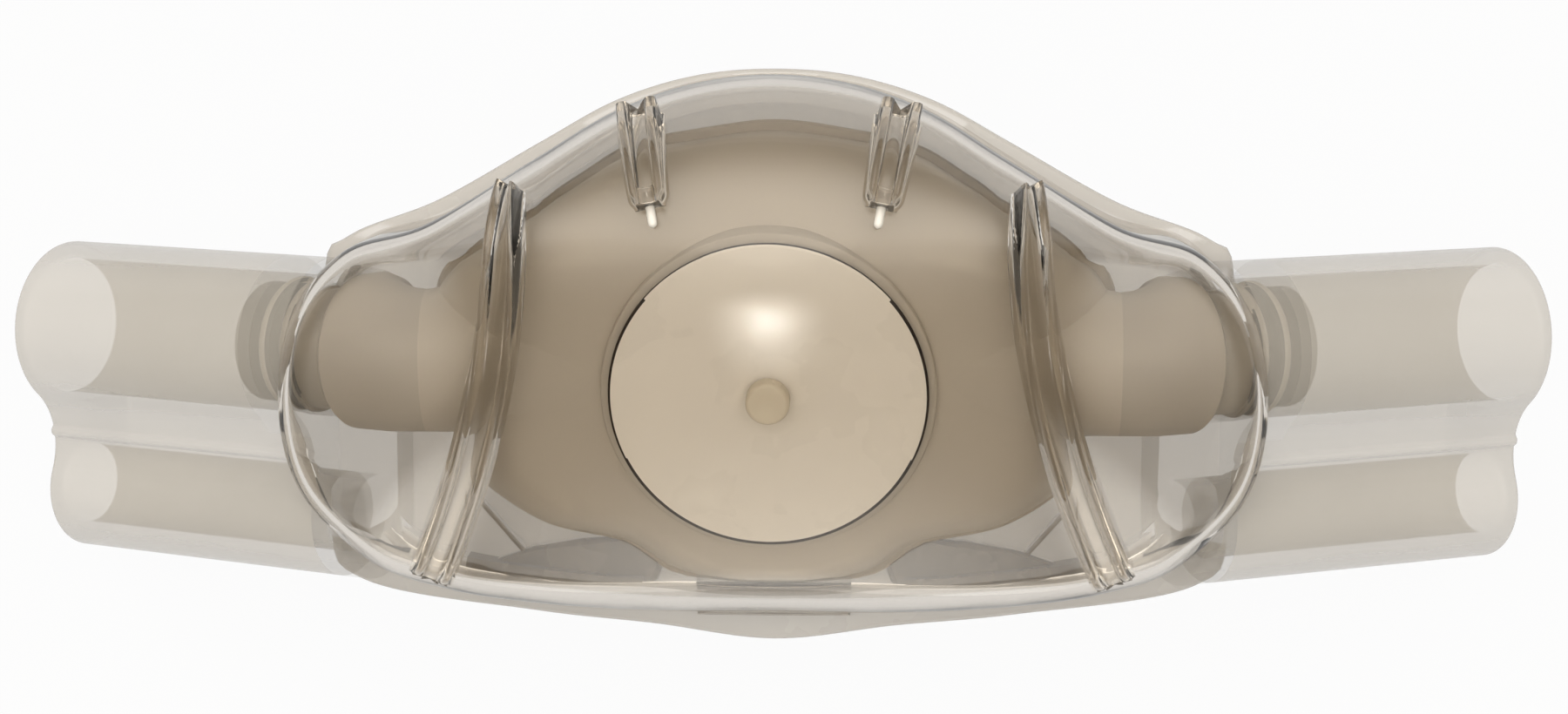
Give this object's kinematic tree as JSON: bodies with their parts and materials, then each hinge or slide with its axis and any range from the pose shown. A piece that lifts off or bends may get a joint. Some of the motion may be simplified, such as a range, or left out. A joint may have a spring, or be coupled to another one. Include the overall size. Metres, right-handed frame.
{
  "type": "nasal hood",
  "caption": "Double nasal hood with a clear cover, an inner nose cup with a flap valve, a soft face flange and two swept-back arms with twin hose bores.",
  "frame": {"origin": "middle of the bounding box, on the surface that the arm ends rest on", "axes": "+X to the right arm as seen from the front, +Y to the bridge of the nose, +Z out of the front of the hood"},
  "size_m": [0.1776, 0.066, 0.0476],
  "materials": {
    "frosted_vinyl": "soft frosted vinyl, translucent",
    "clear_cover": "clear glossy moulded plastic",
    "beige_cup": "translucent beige satin vinyl",
    "valve_film": "pale translucent silicone film",
    "valve_button": "satin moulded plastic"
  },
  "bodies": {
    "root": {"face_frame": "frosted_vinyl", "outer_shell": "clear_cover", "inner_hood": "beige_cup", "valve_disc": "valve_film", "valve_stud": "valve_button"}
  },
  "joints": []
}
